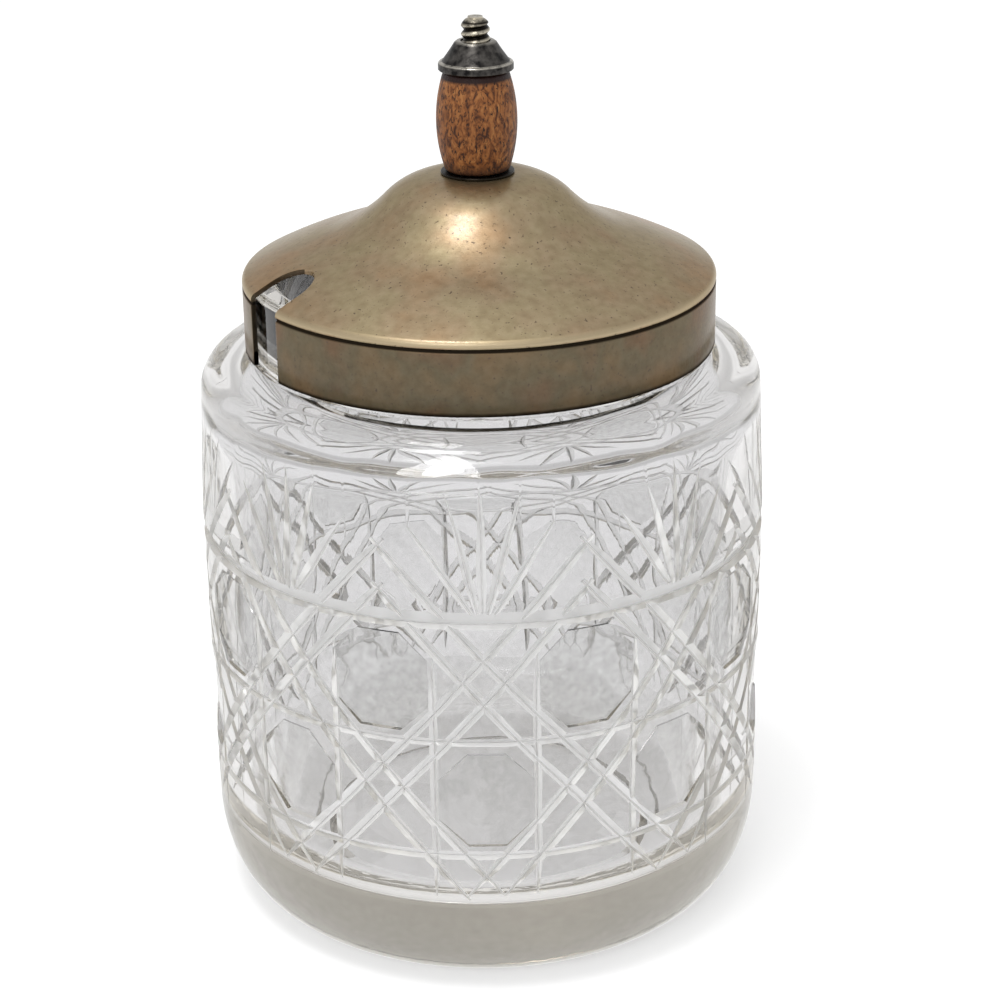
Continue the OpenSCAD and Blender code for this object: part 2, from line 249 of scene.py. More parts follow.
def cut_glass():
    """Old colourless table glass, blown in a mould, cut on wheels and polished: clear, faintly grey and a
    little warmer where it is thick, with a slow ripple that bends what is seen through it. What the wheel
    cut is a little frosted, so that it looks paler than the wall. All of it is one glass, so that light
    goes in and out of the same body."""
    material, tree, mm = new_material("blown_and_wheel_cut_glass")
    roughness, ripple, frost, grime_and_shade, film_and_shade = [
        add(tree, "Attribute", attribute_name=name).outputs["Fac"] for name in SKIN_VALUES]
    slow = add(tree, "TexNoise", {"Vector": mm, "Scale": 1 / 14, "Detail": 2.0})
    fine = add(tree, "TexNoise", {"Vector": mm, "Scale": 1 / 3.5, "Detail": 1.0})
    waves = add(tree, "Math", [fine, ripple], operation="MULTIPLY")
    waves = add(tree, "Math", [waves, 2.0, slow], operation="MULTIPLY_ADD")
    bump = add(tree, "Bump", {"Height": waves, "Strength": 0.05, "Distance": 1 * MM})
    height = add(tree, "SeparateXYZ", [mm]).outputs["Z"]
    # Painted shade, partly real: grime and film mix the dark grey below into the glass, for old dirt and haze
    # and for the darker room that clear glass would show.
    half_height = add(tree, "MapRange", [band(tree, height, *FILM_Z), 0, 1, 0.25, 1])
    dull = add(tree, "Math", [film_and_shade, half_height, grime_and_shade], operation="MULTIPLY_ADD")
    cloud = add(tree, "TexNoise", {"Vector": mm, "Scale": 1 / 1.3, "Detail": 3.0})
    uneven = add(tree, "MapRange", [cloud, 0.3, 0.7, 0.6, 1.4])
    dull = add(tree, "Math", [dull, uneven], operation="MULTIPLY")
    frosted = add(tree, "MapRange", [frost, 0, 0.2])
    clean = add(tree, "Mix", {0: frosted, MIX_A: "#F5F5F7", MIX_B: "#FFFFFF"}, data_type="RGBA")
    tone = add(tree, "Mix", {0: dull, MIX_A: clean, MIX_B: "#7C7C76"}, data_type="RGBA")
    clear = add(tree, "MapRange", [frost, 0, 1, 1, 0])
    glass = add(tree, "BsdfPrincipled", {"Base Color": tone, "Roughness": roughness, "IOR": GLASS_IOR,
                                         "Transmission Weight": clear, "Normal": bump})
    tint = add(tree, "VolumeAbsorption", {"Color": "#F8F6F1", "Density": 40.0})
    add(tree, "OutputMaterial", {"Surface": glass, "Volume": tint})
    return material


def spun_brass(edge_z, foot_z):
    """Brass sheet spun over a former and left to age: dull khaki, faint rings from the spinning tool,
    pinkish and olive patches, and fine dark specks, drawn a little larger than life so that they show.
    Light and shade are painted in as well: the skirt is painted darker than the top as painted shade, the
    edge has a paler band that is partly rubbed brass and partly a painted highlight, the crease below it
    and the skirt's foot are dark, partly dirt and partly painted shade, and the inside is painted nearly
    black as painted shade under the lid."""
    material, tree, mm = new_material("aged_spun_brass")
    patches = add(tree, "TexNoise", {"Vector": mm, "Scale": 1 / 13, "Detail": 3.0})
    specks = add(tree, "TexNoise", {"Vector": mm, "Scale": 1 / 0.55, "Detail": 2.0})
    bloom = add(tree, "TexNoise", {"Vector": mm, "Scale": 1 / 1.7, "Detail": 6.0})
    height = add(tree, "SeparateXYZ", [mm]).outputs["Z"]
    top = add(tree, "ValToRGB", [patches], [(0.3, "#A49273"), (0.45, "#B0A07F"), (0.56, "#AE997B"),
                                            (0.7, "#B2926F")])
    # Painted shade: the skirt's colours are darker than the top's, for the darker room that the upright skirt
    # faces.
    side = add(tree, "ValToRGB", [patches], [(0.35, "#7F684B"), (0.5, "#6C614A"), (0.62, "#755D45")])
    skirt = add(tree, "MapRange", [height, edge_z - 0.3, edge_z - 0.9])
    tone = add(tree, "Mix", {0: skirt, MIX_A: top, MIX_B: side}, data_type="RGBA")
    shade_by = add(tree, "ValToRGB", [bloom], [(0.3, "#E6E3DC"), (0.5, "#F5F4F0"), (0.66, "#FFFFFF")])
    tone = add(tree, "Mix", {0: 1.0, MIX_A: tone, MIX_B: shade_by}, data_type="RGBA", blend_type="MULTIPLY")
    speckled = add(tree, "MapRange", [specks, 0.64, 0.76])
    tone = add(tree, "Mix", {0: speckled, MIX_A: tone, MIX_B: "#5E5040"}, data_type="RGBA")
    # Painted highlight, partly rubbed brass: a paler band along the roll of the edge.
    rubbed = band(tree, height, edge_z - 0.05, edge_z + 0.1, edge_z + 0.6, edge_z + 1.1)
    tone = add(tree, "Mix", {0: rubbed, MIX_A: tone, MIX_B: "#BDAB8A"}, data_type="RGBA")
    # Painted shade, partly dirt: dark in the crease below the edge and along the skirt's foot.
    crease = band(tree, height, edge_z - 0.95, edge_z - 0.75, edge_z - 0.35, edge_z - 0.2)
    foot = add(tree, "MapRange", [height, foot_z + 0.7, foot_z + 0.25])
    dirt = add(tree, "Math", [crease, foot], operation="MAXIMUM")
    tone = add(tree, "Mix", {0: dirt, MIX_A: tone, MIX_B: "#2B2319"}, data_type="RGBA")
    # Painted shade: the inside, and less fully the slot's cut edges, are painted nearly black where the lid
    # shades them.
    inner = add(tree, "Attribute", attribute_name="inner").outputs["Fac"]
    tone = add(tree, "Mix", {0: inner, MIX_A: tone, MIX_B: "#1D1812"}, data_type="RGBA")
    dark = add(tree, "Math", [dirt, inner], operation="MAXIMUM")
    satin = add(tree, "MapRange", [specks, 0.3, 0.7, 0.40, 0.50])
    roughness = add(tree, "Math", [dark, 0.25, satin], operation="MULTIPLY_ADD")
    skin = add(tree, "MapRange", [dark, 0, 1, 0.65, 0.05])
    rings = add(tree, "TexNoise", {"W": from_axis(tree, mm), "Scale": 2.2, "Detail": 2.0},
                noise_dimensions="1D")
    grain = add(tree, "Math", [rings, specks], operation="ADD")
    grain = add(tree, "Math", [bloom, 1.5, grain], operation="MULTIPLY_ADD")
    bump = add(tree, "Bump", {"Height": grain, "Strength": 0.12, "Distance": 0.05 * MM})
    metal = add(tree, "BsdfPrincipled", {"Base Color": tone, "Metallic": 1.0, "Roughness": roughness,
                                         "Specular Tint": "#B8A684", "Coat Weight": skin,
                                         "Coat Roughness": 0.2, "Normal": bump})
    add(tree, "OutputMaterial", {"Surface": metal})
    return material


def turned_wood(low_z, top_z):
    """A dense brown hardwood with a wild, curly grain, turned and oiled: orange-brown with dark curls and
    pores, and a satin skin, with a black band of painted shadow where the collar sits on it, and darker
    towards its foot. The pores are drawn a little coarser than life, so that they show."""
    material, tree, mm = new_material("turned_oiled_hardwood")
    curls = add(tree, "VectorMath", [mm, (1.5, 1.5, 2.4)], operation="DIVIDE")
    grain = add(tree, "TexNoise", {"Vector": curls, "Scale": 1.0, "Detail": 5.0, "Distortion": 1.8})
    along = add(tree, "VectorMath", [mm, (0.3, 0.3, 0.9)], operation="DIVIDE")
    pores = add(tree, "TexNoise", {"Vector": along, "Scale": 1.0, "Detail": 2.0, "Distortion": 0.8})
    pits = add(tree, "MapRange", [pores, 0.55, 0.66])
    height = add(tree, "SeparateXYZ", [mm]).outputs["Z"]
    tone = add(tree, "ValToRGB", [grain], [(0.34, "#3C1D0A"), (0.45, "#784620"), (0.56, "#935C2F"),
                                           (0.7, "#A6703E")])
    tone = add(tree, "Mix", {0: pits, MIX_A: tone, MIX_B: "#2C160B"}, data_type="RGBA")
    # Darker towards the barrel's foot.
    foot = add(tree, "MapRange", [height, low_z + 2.2, low_z + 0.3, 0, 0.8])
    tone = add(tree, "Mix", {0: foot, MIX_A: tone, MIX_B: "#33211B"}, data_type="RGBA")
    # Painted shadow: a black band just under the collar.
    top = add(tree, "MapRange", [height, top_z - 1.5, top_z - 1.0])
    tone = add(tree, "Mix", {0: top, MIX_A: tone, MIX_B: "#260E09"}, data_type="RGBA")
    bump = add(tree, "Bump", {"Height": pits, "Strength": 0.5, "Distance": 0.08 * MM}, invert=True)
    wood = add(tree, "BsdfPrincipled", {"Base Color": tone, "Roughness": 0.5, "IOR": 1.5,
                                        "Specular IOR Level": 0.3, "Normal": bump})
    add(tree, "OutputMaterial", {"Surface": wood})
    return material


def worn_steel(name, low, high, patch_mm, bright, rubbed, by_radius, tip=None):
    """Turned or stamped steel whose old finish, blackened, oiled or plated, is mottled where it has worn
    thin. It is painted bright in a band of heights, or of radii, and at a tip between two heights: partly
    where hands and tools have rubbed it, and partly as painted highlights on edges, crests and tips."""
    material, tree, mm = new_material(name)
    mottle = add(tree, "TexNoise", {"Vector": mm, "Scale": 1 / patch_mm, "Detail": 4.0})
    tone = add(tree, "ValToRGB", [mottle], [(0.35, low), (0.65, high)])
    height = add(tree, "SeparateXYZ", [mm]).outputs["Z"]
    # Painted highlight, partly wear: the bright band stands also for light caught on edges, crests and tips.
    rub_and_highlight = band(tree, from_axis(tree, mm) if by_radius else height, *rubbed)
    if tip:
        rub_and_highlight = add(tree, "Math", [rub_and_highlight, add(tree, "MapRange", [height, *tip])], operation="MAXIMUM")
    uneven = add(tree, "MapRange", [mottle, 0.35, 0.5, 0.35, 1.0])
    worn = add(tree, "Math", [rub_and_highlight, uneven], operation="MULTIPLY")
    tone = add(tree, "Mix", {0: worn, MIX_A: tone, MIX_B: bright}, data_type="RGBA")
    roughness = add(tree, "MapRange", [worn, 0, 1, 0.42, 0.25])
    bump = add(tree, "Bump", {"Height": mottle, "Strength": 0.25, "Distance": 0.08 * MM})
    metal = add(tree, "BsdfPrincipled", {"Base Color": tone, "Metallic": 1.0, "Roughness": roughness,
                                         "Normal": bump})
    add(tree, "OutputMaterial", {"Surface": metal})
    return material


# The glass jar
JAR_R = 47.5
BODY_H = 95.5
WALL_DRAW = 0.9  # how far the wall draws in between DRAW_Z and the shoulder
DRAW_Z = 70.1
SHOULDER_R = 4.5
SHOULDER_RISE = 1.5
NECK_R = 37.6
NECK_H = 14
NECK_T = 4.4
NECK_FILLET = 1
RIM_R = 1.2
WALL_T = 5.5
THROAT_BEVEL = 1.5
BASE_T = 12.5
FLOOR_R = 8.5
FLOOR_RINGS = (24, 14, 5, 0)  # radii of the rings that let the floor waver
WALL_RINGS, WALL_RING_GAP = 8, 7  # and the rings of the inner wall
FOOT_R = 38
HEEL_H = 16.5
HEEL_STEPS = 20
PUNT_R = 29
PUNT_H = 1.6
JAR_SIDES = 600
HOLD = 0.3  # a ring this far past a rounding keeps the wall's own normals flat
RIPPLE_IN = 0.16  # how far the blown inside wavers
RIPPLE_IN_L = 15  # and over what length
RIPPLE_THROAT = 0.22  # it wavers more where the glass was drawn in to the neck
RIPPLE_THROAT_L = 7
RIPPLE_THROAT_Z = 74  # this sets in here, over the next RIPPLE_THROAT_RISE
RIPPLE_THROAT_RISE = 12
INSIDE_TOP = 90  # the film inside ends in the throat

# The cut pattern: three level grooves, two tiers between them, and fans of rays above
REPEATS = 9
STEP = 360 / REPEATS
PATTERN_TURN = 2
TIER_Z = 26
TIER_H = 20.4
TOP_Z = TIER_Z + 2 * TIER_H
CUT_FOOT = HEEL_H + 2  # where the wheel lifted off above the heel
MITRE_TAN = math.tan(math.radians(105 / 2))  # of half the wheel's V
OVER = 1.0  # how far a cutter stands out past the wall
GROOVE_FLAT = 0.12  # a worn wheel leaves the V's bottom this wide
GROOVE_STEP = 1.6  # distance between the stations of a groove
WHEEL_LEAN = 0.3  # the wheel leans, so that a V's upper side is broader and its lower side steeper
LEVEL_DEPTHS = (0.55, 0.5)  # of the lowest level groove and the middle one
LEVEL_STATIONS = 240
TOP_CUT_STATIONS = 360
TOP_CUT_DEPTH = 0.9
TOP_CUT_RISE = 2.3  # the top groove's broad slope, at the wall
TOP_CUT_FALL = 0.6  # and its steep one
RAY_ROOT = 2  # the rays start this far above the top groove
RAY_ROOT_GAP = 0.9
RAY_L = 21
RAY_TURN = 7  # degrees between the tips of two rays
RAY_SHORTER = 1.6  # the outer rays are shorter by this times the square of their number
RAY_DEPTH = 0.62
UPRIGHT_TOP = TOP_Z - 5.3
UPRIGHT_DEPTH = 0.5
SLANT_RISE = 9.5  # over a quarter of a repeat
SLANT_GAP = 4.8  # between the two lines of a double groove
SLANT_PAST = 0.12  # a slanting line runs on past the peak by this share of a quarter
SLANT_DEPTH = 0.64
BUTTON_HALF_W = 7.9
BUTTON_HALF_H = 8.4
BUTTON_CORNER = 4.6
BUTTON_DEEPER = 0.12


def wall_r(z):
    """Radius of the uncut wall."""
    if z < DRAW_Z:
        return JAR_R
    return JAR_R - WALL_DRAW * (z - DRAW_Z) / (BODY_H - SHOULDER_R - DRAW_Z)


def jar_profile():
    """The jar's section: up the outside from the punt to the rim, and down the inside to the floor."""
    neck_foot = BODY_H + SHOULDER_RISE
    rim = BODY_H + NECK_H
    wall_top = JAR_R - WALL_DRAW
    bore, inside = NECK_R - NECK_T, JAR_R - WALL_T
    slope = math.degrees(math.atan(SHOULDER_RISE / (wall_top - SHOULDER_R - NECK_R)))
    heel = [(FOOT_R + (JAR_R - FOOT_R) * math.cos(a), HEEL_H * (1 + math.sin(a)))
            for a in [math.radians(-90 + 90 / HEEL_STEPS * i) for i in range(HEEL_STEPS + 1)]]
    throat_r = inside - bore - THROAT_BEVEL
    throat = (bore + THROAT_BEVEL, neck_foot - WALL_T - throat_r)
    outside = ([(0, PUNT_H), (PUNT_R - PUNT_H, PUNT_H), (PUNT_R, 0)] + heel
               + [(JAR_R, HEEL_H + HOLD), (JAR_R, DRAW_Z)]
               + arc((wall_top - SHOULDER_R, BODY_H - SHOULDER_R), SHOULDER_R, 0, 90 - slope, 5)
               + arc((NECK_R + NECK_FILLET, neck_foot + NECK_FILLET), NECK_FILLET, 270, 180, 15)
               + [(NECK_R, neck_foot + NECK_FILLET + HOLD), (NECK_R, rim - RIM_R - HOLD)]
               + arc((NECK_R - RIM_R, rim - RIM_R), RIM_R, 0, 90, 12))
    inner_wall = [(inside, throat[1] - i * WALL_RING_GAP) for i in range(1, WALL_RINGS + 1)]
    within = (arc((bore + RIM_R, rim - RIM_R), RIM_R, 90, 180, 12)
              + [(bore, rim - RIM_R - HOLD), (bore, neck_foot - WALL_T + THROAT_BEVEL)]
              + arc(throat, throat_r, 90, 0, 6) + inner_wall
              + arc((inside - FLOOR_R, BASE_T + FLOOR_R), FLOOR_R, 0, -90, 5)
              + [(r, BASE_T) for r in FLOOR_RINGS])
    return outside + within


def blown(turn, r, z):
    """The inside isn't cut, so it keeps the slow waver of blown glass."""
    if r > JAR_R - WALL_T + 0.01 or z > BODY_H - 4 or z < BASE_T - 0.1:
        return r, z
    place = point(turn, r, z)
    lift = noise.noise(place / RIPPLE_IN_L) * RIPPLE_IN
    drawn_in = max(0, min(1, (z - RIPPLE_THROAT_Z) / RIPPLE_THROAT_RISE))
    lift += noise.noise(place / RIPPLE_THROAT_L) * RIPPLE_THROAT * drawn_in
    return (r + lift, z) if z > BASE_T + 0.1 else (r, z + lift)


def sweep(points, ring):
    """Points, faces and the faces' skins of a wheel's path. Every four points are a station: the V's bottom
    edges and then its open side."""
    n = len(points) // 4
    faces, skins = [], []
    for i in range(n if ring else n - 1):
        a, b = 4 * i, 4 * ((i + 1) % n)
        faces += [(a + k, b + k, b + (k + 1) % 4, a + (k + 1) % 4) for k in range(4)]
        skins += [GROOVE_BOTTOM, GROOVE, GROOVE, GROOVE]
    if not ring:
        faces += [(0, 1, 2, 3), (4 * n - 1, 4 * n - 2, 4 * n - 3, 4 * n - 4)]
        skins += [GROOVE, GROOVE]
    return points, faces, skins


def v_cutter(stations, ring=False):
    """A V wheel's path along the wall. stations are (turn, height, depth) of the V's bottom."""
    bottom = [point(t, wall_r(z) - d, z) for t, z, d in stations]
    n = len(bottom)
    points = []
    for i, (turn, z, depth) in enumerate(stations):
        if ring:
            along = bottom[(i + 1) % n] - bottom[i - 1]
        else:
            along = bottom[min(i + 1, n - 1)] - bottom[max(i - 1, 0)]
        along.normalize()
        out = point(turn, 1, 0)
        out = (out - along * out.dot(along)).normalized()
        side = along.cross(out)
        foot = side * GROOVE_FLAT / 2
        wide = side * (depth + OVER) * MITRE_TAN
        lean = max(-WHEEL_LEAN, min(WHEEL_LEAN, side.z))
        top = bottom[i] + out * (depth + OVER)
        points += [bottom[i] - foot, bottom[i] + foot, top + wide * (1 + lean), top - wide * (1 - lean)]
    return sweep(points, ring)


def join(name, parts):
    """One cutter from several parts, each with its points, faces and skins."""
    points, faces, skins = [], [], []
    for more_points, more_faces, more_skins in parts:
        faces += [tuple(k + len(points) for k in face) for face in more_faces]
        points += more_points
        skins += more_skins
    cutter = mesh_piece(name, points, faces)
    for _ in SKINS:
        cutter.data.materials.append(None)
    cutter.data.polygons.foreach_set("material_index", skins)
    return cutter


def waver(amount, n, coarse=6):
    """n small offsets that drift slowly, as a hand does."""
    knots = [hand.uniform(-amount, amount) for _ in range(coarse + 2)]
    out = []
    for i in range(n):
        place = i / max(n - 1, 1) * coarse
        k, f = int(place), place - int(place)
        f = f * f * (3 - 2 * f)
        out.append(knots[k] * (1 - f) + knots[k + 1] * f)
    return out


def groove(start, end, depths, drift=0.1):
    """A groove from one (turn, height) to another. depths(t) gives its depth from start, 0, to end, 1."""
    length = math.hypot((end[0] - start[0]) * math.pi / 180 * JAR_R, end[1] - start[1])
    n = max(4, round(length / GROOVE_STEP))
    across, deep = waver(drift, n + 1), waver(0.03, n + 1)
    tilt = (end[1] - start[1]) / length
    stations = []
    for i in range(n + 1):
        t = i / n
        turn = start[0] + (end[0] - start[0]) * t + across[i] * tilt / JAR_R * 180 / math.pi
        z = start[1] + (end[1] - start[1]) * t - across[i] * (1 - abs(tilt))
        depth = depths(t)
        stations.append((turn, z, depth + (deep[i] if depth > 0.1 else 0)))
    return v_cutter(stations)


def level_grooves():
    """The two lower level grooves, right round the jar."""
    parts = []
    n = LEVEL_STATIONS
    for z, depth in zip((TIER_Z, TIER_Z + TIER_H), LEVEL_DEPTHS):
        across, deep = waver(0.15, n, 18), waver(0.06, n, 24)
        across[-3:] = [across[0]] * 3
        parts.append(v_cutter([(360 * i / n, z + across[i], depth + deep[i]) for i in range(n)], True))
    return join("level_grooves", parts)


def top_groove():
    """The top level groove is cut with a leaning wheel: a broad slope above and a steep one below."""
    n = TOP_CUT_STATIONS
    points = []
    rise = waver(0.15, n, 18)
    rise[-3:] = [rise[0]] * 3
    for i in range(n):
        turn, z = 360 * i / n, TOP_Z + rise[i]
        low, high = JAR_R - TOP_CUT_DEPTH, JAR_R + TOP_CUT_DEPTH
        points += [point(turn, low, z), point(turn, low, z - GROOVE_FLAT),
                   point(turn, high, z - TOP_CUT_FALL * 2), point(turn, high, z + TOP_CUT_RISE * 2)]
    return join("top_groove", [sweep(points, True)])


def rays(k):
    """Ray number k of every fan, from -2 to 2."""
    parts = []
    for i in range(REPEATS):
        a = PATTERN_TURN + i * STEP
        root = (a + k * RAY_ROOT_GAP / JAR_R * 180 / math.pi, TOP_Z + RAY_ROOT + hand.uniform(-0.3, 0.3))
        tip = (a + k * RAY_TURN + hand.uniform(-0.5, 0.5),
               TOP_Z + RAY_ROOT + RAY_L - RAY_SHORTER * k * k + hand.uniform(-1.2, 0.8))
        deep = RAY_DEPTH + hand.uniform(-0.06, 0.06)
        parts.append(groove(root, tip, lambda t: deep * min(1, 0.45 + 2 * t) * (1 - t ** 3) - 0.05 * t))
    return join("rays", parts)


def uprights():
    """The upright grooves, a quarter of a repeat to each side of a fan."""
    parts = []
    for i in range(REPEATS):
        for way in (-1, 1):
            a = PATTERN_TURN + i * STEP + way * STEP / 4 + hand.uniform(-0.3, 0.3)
            low, high = CUT_FOOT + hand.uniform(-0.8, 0.4), UPRIGHT_TOP + hand.uniform(-1, 1)
            parts.append(groove((a, low), (a + hand.uniform(-0.3, 0.3), high),
                                lambda t: UPRIGHT_DEPTH * min(1, 6 * t + 0.1, 6 * (1 - t) + 0.1) - 0.02))
    return join("uprights", parts)


def slants(way, side):
    """One line of the double grooves that cross between the tiers, on every repeat."""
    rise, run = SLANT_RISE, STEP / 4
    gap = SLANT_GAP / 2 / math.cos(math.atan(rise / (JAR_R * run * math.pi / 180)))
    peak = TOP_Z - TIER_H / 2 + 2 * rise + side * gap
    count = (peak - CUT_FOOT) / rise
    parts = []
    for i in range(REPEATS):
        a = PATTERN_TURN + (i + 0.5) * STEP
        start = (a - way * SLANT_PAST * run, peak + SLANT_PAST * rise)
        end = (a + way * count * run + hand.uniform(-0.6, 0.6), CUT_FOOT + hand.uniform(-0.8, 0.4))
        parts.append(groove(start, end,
                            lambda t: SLANT_DEPTH * min(1, 0.45 + 8 * t, 9 * (1 - t) + 0.1) - 0.02,
                            drift=0.22))
    return join("slants", parts)


def buttons():
    """Flat eight-sided buttons ground into the wall between the grooves."""
    parts = []
    for i in range(REPEATS):
        a = PATTERN_TURN + i * STEP
        for turn, z in ((a, TIER_Z + TIER_H / 2), (a + STEP / 2, TIER_Z + 3 * TIER_H / 2)):
            w = BUTTON_HALF_W + hand.uniform(-0.25, 0.1)
            h = BUTTON_HALF_H + hand.uniform(-0.3, 0.1)
            c = BUTTON_CORNER + hand.uniform(-0.5, 0.5)
            flat = math.sqrt(JAR_R ** 2 - BUTTON_HALF_W ** 2) - BUTTON_DEEPER
            outline = [(w, c - h), (w, h - c), (w - c, h), (c - w, h),
                       (-w, h - c), (-w, c - h), (c - w, -h), (w - c, -h)]
            lean = Matrix.Rotation(math.radians(hand.uniform(-0.6, 0.6)), 3, "Y")
            spin = Matrix.Rotation(math.radians(turn + hand.uniform(-0.3, 0.3)), 3, "Z")
            points = []
            for depth in (0, 2):
                for y, up in outline:
                    points.append(spin @ (lean @ Vector((depth, y, up)) + Vector((flat, 0, z))))
            faces = [tuple(range(7, -1, -1)), tuple(range(8, 16))]
            faces += [(k, (k + 1) % 8, (k + 1) % 8 + 8, k + 8) for k in range(8)]
            parts.append((points, faces, [BUTTON] * len(faces)))
    return join("buttons", parts)


def glass_jar():
    """The jar is turned, cut, and given each face's skin as plain values that its one glass reads."""
    jar = lathe("glass_jar_body", jar_profile(), JAR_SIDES, blown)
    glass = cut_glass()
    for _ in SKINS:
        jar.data.materials.append(glass)
    for face in jar.data.polygons:
        if face.center.z < (PUNT_H + 0.01) * MM and face.normal.z < -0.9:
            face.material_index = FOOT
        reach = math.hypot(face.center.x, face.center.y)
        if BASE_T * MM < face.center.z < INSIDE_TOP * MM and reach < (JAR_R - WALL_T + 0.3) * MM:
            face.material_index = INSIDE
        elif face.center.z < HEEL_H * MM and face.material_index == BLOWN:
            face.material_index = HEEL
    cutters = [level_grooves(), top_groove()] + [rays(k) for k in range(-2, 3)] + [uprights()]
    cutters += [slants(way, side) for way in (-1, 1) for side in (-1, 1)]
    cutters.append(buttons())
    cut_away(jar, cutters)
    faces = jar.data.polygons
    kinds = [face.material_index for face in faces]
    for column, name in enumerate(SKIN_VALUES):
        values = jar.data.attributes.new(name, "FLOAT", "FACE")
        values.data.foreach_set("value", [SKINS[kind][column] for kind in kinds])
    faces.foreach_set("material_index", [0] * len(faces))
    shade(jar, 12)
    fit(jar, "jar", "glass_jar", glass)


# The lid
SHEET_T = 0.8
SKIRT_H = 10.4
ROLL_R = 2.2
EDGE_R = 1.2  # the brim turns down into the skirt more sharply than the plain roll
CREASE = 0.22  # depth of the crease that the tool left below the edge
CREASE_LINE = ((0, 0.15), (CREASE, 0.4), (CREASE, 0.65), (0, 0.95))  # its depths, and how far down
SEAT_R = 6.2  # the flat that the knob stands on
CROWN_R = 13
WAIST_R = 26
CROWN_SLOPE = 46
WAIST_SLOPE = 18
BRIM_SLOPE = 27
LID_R = 38.9
SEAT_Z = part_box("lid_shell")[1][2] / MM
SLOT_W = 9.6
SLOT_L = 9
SLOT_CORNER_R = 2.4
SLOT_PAST = 2  # how far the slot's cutter stands out past the sheet
SCREW_HOLE_R = 2.43


def sine(angle):
    return math.sin(math.radians(angle))


def cosine(angle):
    return math.cos(math.radians(angle))


def lid_side(t):
    """The lid's upper skin moved in by t, from the knob's flat down to the skirt's edge."""
    crown = (SEAT_R, -CROWN_R)
    apart = CROWN_R + WAIST_R
    waist = (crown[0] + apart * sine(CROWN_SLOPE), crown[1] + apart * cosine(CROWN_SLOPE))
    turn = (waist[0] - WAIST_R * sine(WAIST_SLOPE), waist[1] - WAIST_R * cosine(WAIST_SLOPE))
    brim_end = LID_R - ROLL_R * (1 - sine(BRIM_SLOPE))
    brim_r = (brim_end - turn[0]) / (sine(BRIM_SLOPE) - sine(WAIST_SLOPE))
    brim = (turn[0] - brim_r * sine(WAIST_SLOPE), turn[1] - brim_r * cosine(WAIST_SLOPE))
    foot = brim[1] + (brim_r - ROLL_R) * cosine(BRIM_SLOPE) - SKIRT_H
    run_on = LID_R - EDGE_R * (1 - sine(BRIM_SLOPE)) - brim_end
    drop = run_on * sine(BRIM_SLOPE) / cosine(BRIM_SLOPE)
    edge_z = brim[1] + (brim_r - EDGE_R) * cosine(BRIM_SLOPE) - drop
    line = [(SCREW_HOLE_R, -t)] + arc(crown, CROWN_R - t, 90, 90 - CROWN_SLOPE, 2)
    line += arc(waist, WAIST_R + t, 270 - CROWN_SLOPE, 270 - WAIST_SLOPE, 1)[1:]
    line += arc(brim, brim_r - t, 90 - WAIST_SLOPE, 90 - BRIM_SLOPE, 0.5)[1:]
    line += arc((LID_R - EDGE_R, edge_z), EDGE_R - t, 90 - BRIM_SLOPE, 0, 7)
    if t == 0:
        line += [(LID_R - deep, edge_z - down) for deep, down in CREASE_LINE]
    line += [(LID_R - t, foot)]
    return [(r, z + SEAT_Z) for r, z in line]


def prism(name, outline, low, high):
    """A closed block from an anticlockwise outline of (x, y) points, between two heights."""
    n = len(outline)
    points = [Vector((x, y, z)) for z in (low, high) for x, y in outline]
    faces = [tuple(range(n - 1, -1, -1)), tuple(range(n, 2 * n))]
    faces += [(k, (k + 1) % n, (k + 1) % n + n, k + n) for k in range(n)]
    return mesh_piece(name, points, faces)


def spoon_slot_cutters():
    """The slot runs in from the skirt to a round end, and its corners at the skirt's edge are rounded."""
    inner = -(LID_R - SLOT_L) - SLOT_W / 2
    half = SLOT_W / 2
    edge = lid_side(0)[-1][1]
    outside = -LID_R - SLOT_PAST
    end = [(inner + half * math.cos(a), half * math.sin(a))
           for a in [math.radians(-90 + 6 * i) for i in range(31)]]
    slot = prism("slot", [(outside, -half)] + end + [(outside, half)], edge - SLOT_PAST, SEAT_Z + SLOT_PAST)
    corner = half + SLOT_CORNER_R
    outline = [(-corner, -1), (corner, -1)]
    for side, start in ((1, 270), (-1, 360)):
        for i in range(11):
            a = math.radians(start - 9 * i)
            outline.append((side * corner + SLOT_CORNER_R * math.cos(a), SLOT_CORNER_R * (1 + math.sin(a))))
    n = len(outline)
    points = [Vector((x, y, edge + up)) for x in (outside, -LID_R + 4) for y, up in outline]
    faces = [tuple(range(n)), tuple(range(2 * n - 1, n - 1, -1))]
    faces += [(k + n, (k + 1) % n + n, (k + 1) % n, k) for k in range(n)]
    return [slot, mesh_piece("flare", points, faces)]


def brass_lid():
    """One sheet, spun to shape, with the spoon slot cut out and its edges eased."""
    profile = list(reversed(lid_side(0))) + lid_side(SHEET_T)
    lid = lathe("brass_lid", profile, 360)
    cut_away(lid, spoon_slot_cutters())
    ease_edges(lid, 0.2, 40)
    shade(lid, 30)
    outer = lid_side(0)
    edge_z = max(z for r, z in outer if r > LID_R - 0.001)
    within = Vector((0, 0, SEAT_Z - 45)) * MM  # the sheet's inside faces this place, and its edges look past
    facing = [face.normal.dot((face.center - within).normalized()) for face in lid.data.polygons]
    # These values say where the brass is painted nearly black as painted shade: 1 inside, 0.75 on the cut
    # edges.
    inner = lid.data.attributes.new("inner", "FLOAT", "FACE")
    inner.data.foreach_set("value", [1 if out < -0.4 else 0.75 if out < 0.62 else 0 for out in facing])
    fit(lid, "lid", "lid_shell", spun_brass(edge_z, outer[-1][1]))


